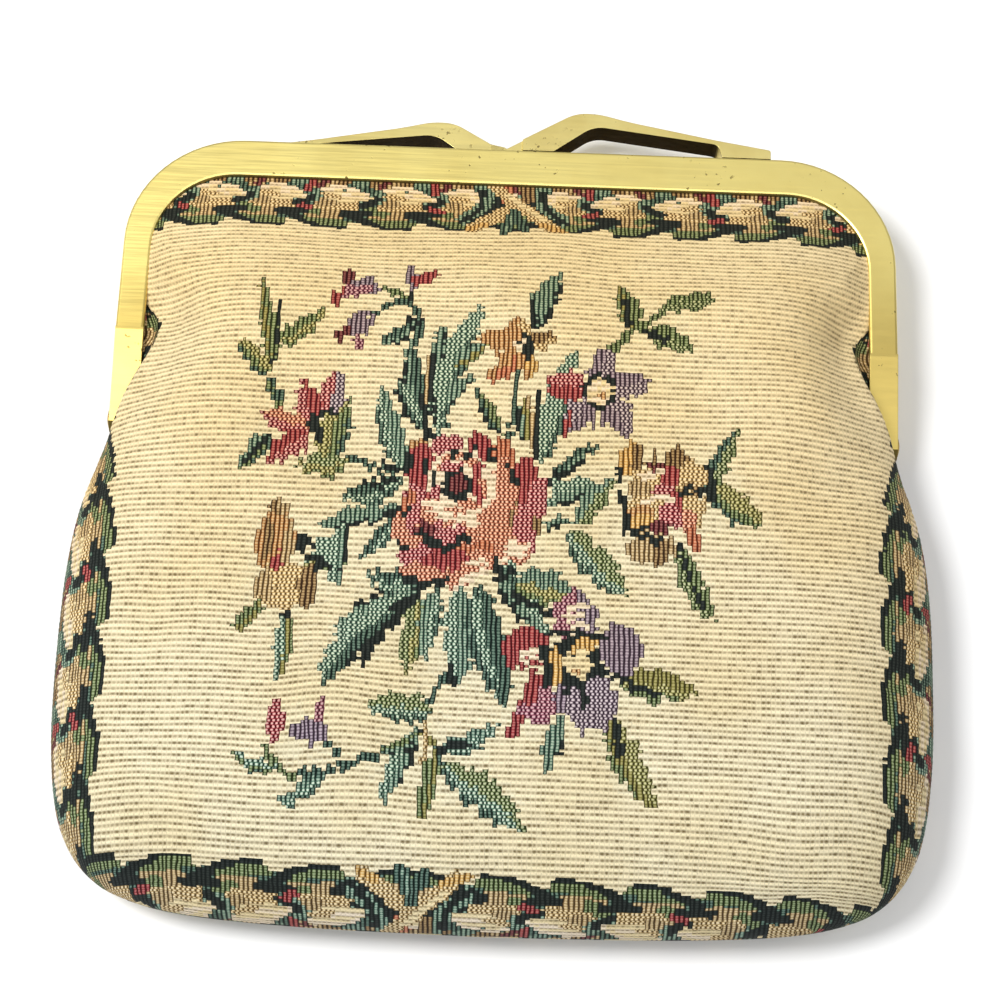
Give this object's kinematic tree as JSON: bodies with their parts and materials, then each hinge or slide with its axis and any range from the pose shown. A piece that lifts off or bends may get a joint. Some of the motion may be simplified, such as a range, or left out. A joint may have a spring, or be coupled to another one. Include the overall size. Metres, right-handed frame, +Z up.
{
  "type": "kiss lock purse",
  "caption": "Soft rounded tapestry purse with a U-shaped brass frame, hinged at its sides and closed by crossing raised clasp bows, for carrying small things.",
  "frame": {"origin": "on the surface the purse lies on, under the middle of its bounding box", "axes": "+X across the purse to the right as seen from its front, +Y up the purse from its bottom seam to its clasp, +Z up from the surface, out of the front panel"},
  "size_m": [0.173, 0.1756, 0.0269],
  "materials": {
    "frame_brass": "satin, pale gold, worn with fine pits and scratches",
    "clasp_brass": "satin to bright, pale gold",
    "rivet_brass": "dull",
    "tapestry": "ribbed woven floral tapestry on a pale cream ground"
  },
  "bodies": {
    "root": {"front_frame": "frame_brass", "back_frame": "frame_brass", "front_bow": "clasp_brass", "back_bow": "clasp_brass", "right_hinge_rivet": "rivet_brass", "left_hinge_rivet": "rivet_brass", "front_panel": "tapestry", "back_panel": "tapestry"}
  },
  "joints": []
}
